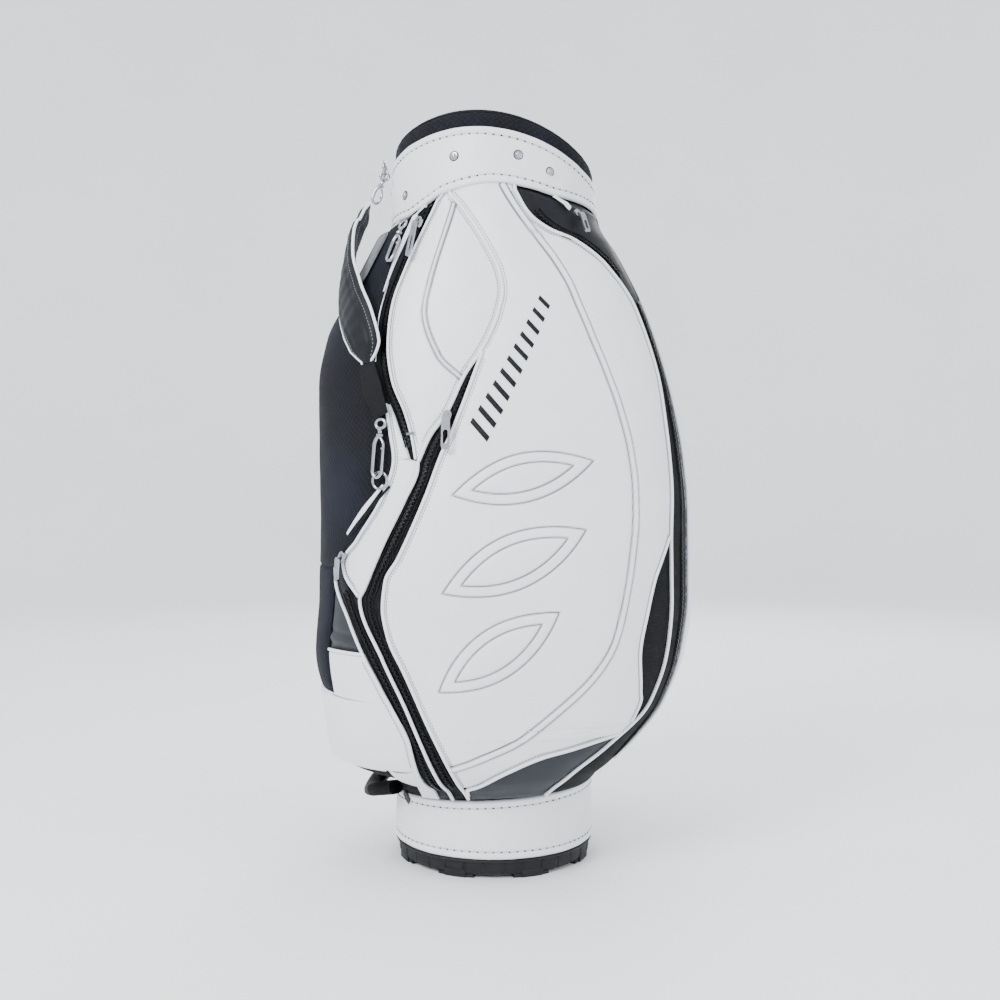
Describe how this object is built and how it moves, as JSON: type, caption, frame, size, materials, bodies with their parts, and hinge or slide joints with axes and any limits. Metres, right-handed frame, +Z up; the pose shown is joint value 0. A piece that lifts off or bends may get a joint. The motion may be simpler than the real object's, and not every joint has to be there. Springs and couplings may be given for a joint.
{
  "type": "golf staff bag",
  "caption": "Large golf bag with a round rigid base, slanted divided mouth, sewn pocket panels, padded shoulder strap, zips with chrome pulls and a base lift handle.",
  "frame": {"origin": "centre of the underside of the base, on the floor", "axes": "+Z up along the barrel, +X to the front ball-pocket side, -X to the spine side with the strap, -Y to the side seen from the carrier's left"},
  "size_m": [0.4334, 0.3778, 0.8406],
  "materials": {
    "white_leather": "smooth white synthetic leather, semi gloss",
    "dark_leather": "dark slate synthetic leather with a fine grain",
    "black_mesh": "black spacer mesh and zip tape",
    "navy_mesh": "padded dark navy mesh",
    "webbing": "black woven nylon and padded fabric",
    "base_rubber": "dark moulded rubber",
    "barrel_plastic": "dark moulded sheet plastic",
    "chrome": "polished chrome plating",
    "tag_plastic": "translucent grey plastic"
  },
  "bodies": {
    "bag": {"base_cup": "base_rubber", "base_band": "white_leather", "barrel": "barrel_plastic", "mouth_ring": "barrel_plastic", "club_divider": "navy_mesh", "rim_pad": "navy_mesh", "top_cuff": "white_leather", "cuff_stud_band": "chrome", "side_panel_left": "white_leather", "leaf_panel_left": "white_leather", "leaf_zip_tape_left": "black_mesh", "zip_gusset_left": "black_mesh", "diamond_panel_left": "white_leather", "pleat_gusset_left": "dark_leather", "back_yoke_left": "dark_leather", "lower_pocket_left": "white_leather", "bottom_panel_left": "dark_leather", "mesh_inset_left": "black_mesh", "shoulder_panel_left": "black_mesh", "front_gusset_left": "black_mesh", "side_panel_right": "white_leather", "leaf_panel_right": "white_leather", "leaf_zip_tape_right": "black_mesh", "zip_gusset_right": "black_mesh", "diamond_panel_right": "white_leather", "pleat_gusset_right": "dark_leather", "back_yoke_right": "dark_leather", "lower_pocket_right": "white_leather", "bottom_panel_right": "dark_leather", "mesh_inset_right": "black_mesh", "shoulder_panel_right": "black_mesh", "front_gusset_right": "black_mesh", "back_pad": "navy_mesh", "ball_pocket": "white_leather", "front_yoke": "dark_leather", "front_foot_panel": "dark_leather", "spine_foot_gusset": "webbing", "pocket_partition_left": "barrel_plastic", "pocket_partition_right": "barrel_plastic", "strap_ring_top": "chrome", "strap_ring_low": "chrome", "base_handle": "webbing"},
    "strap": {"strap_pad": "webbing", "strap_hook_top": "chrome", "strap_web_low": "webbing", "strap_hook_low": "chrome"},
    "main_zip_slider": {"main_zip_slider": "chrome"},
    "main_zip_pull": {"main_zip_pull": "chrome"},
    "leaf_zip_slider": {"leaf_zip_slider": "chrome"},
    "leaf_zip_pull": {"leaf_zip_pull": "chrome"},
    "shoulder_zip_slider": {"shoulder_zip_slider": "chrome"},
    "shoulder_zip_pull": {"shoulder_zip_pull": "chrome"},
    "spine_zip_slider": {"spine_zip_slider": "chrome"},
    "spine_zip_pull": {"spine_zip_pull": "chrome"},
    "snap_hook": {"snap_hook": "chrome"},
    "name_tag": {"name_tag": "tag_plastic"}
  },
  "joints": [
    {"name": "strap_lift", "type": "hinge", "parent": "bag", "child": "strap", "pos_m": [-0.12972, -0.00453, 0.797], "axis": [-0.0349, 0.9994, 0], "range_deg": [0, 80]},
    {"name": "main_zip_run", "type": "slide", "parent": "bag", "child": "main_zip_slider", "axis": [-0.3054, -0.0367, -0.9515], "range_m": [0, 0.1261]},
    {"name": "main_zip_pull_swing", "type": "hinge", "parent": "main_zip_slider", "child": "main_zip_pull", "pos_m": [-0.04873, -0.17949, 0.4995], "axis": [-0.9915, 0.1304, 0], "range_deg": [0, 140]},
    {"name": "leaf_zip_run", "type": "slide", "parent": "bag", "child": "leaf_zip_slider", "axis": [-0.3502, -0.1502, -0.9245], "range_m": [0, 0.0822]},
    {"name": "leaf_zip_pull_swing", "type": "hinge", "parent": "leaf_zip_slider", "child": "leaf_zip_pull", "pos_m": [-0.08546, -0.11614, 0.71668], "axis": [-0.8343, 0.5512, 0], "range_deg": [0, 140]},
    {"name": "shoulder_zip_run", "type": "slide", "parent": "bag", "child": "shoulder_zip_slider", "axis": [0.7117, 0.3879, -0.5856], "range_m": [0, 0.0461]},
    {"name": "shoulder_zip_pull_swing", "type": "hinge", "parent": "shoulder_zip_slider", "child": "shoulder_zip_pull", "pos_m": [0.09731, -0.10479, 0.72831], "axis": [-0.7593, -0.6508, 0], "range_deg": [0, 140]},
    {"name": "spine_zip_run", "type": "slide", "parent": "bag", "child": "spine_zip_slider", "axis": [0.4388, -0.3796, 0.8145], "range_m": [0, 0.0405]},
    {"name": "spine_zip_pull_swing", "type": "hinge", "parent": "spine_zip_slider", "child": "spine_zip_pull", "pos_m": [-0.16752, -0.13358, 0.35083], "axis": [-0.6499, 0.76, 0], "range_deg": [0, 140]},
    {"name": "snap_hook_swing", "type": "hinge", "parent": "bag", "child": "snap_hook", "pos_m": [-0.09916, -0.09086, 0.72326], "axis": [-0.6756, 0.7373, 0], "range_deg": [0, 80]},
    {"name": "name_tag_swing", "type": "hinge", "parent": "bag", "child": "name_tag", "pos_m": [-0.12789, -0.05964, 0.71097], "axis": [-0.8131, -0.3792, 0.4416], "range_deg": [-12, 12]}
  ]
}
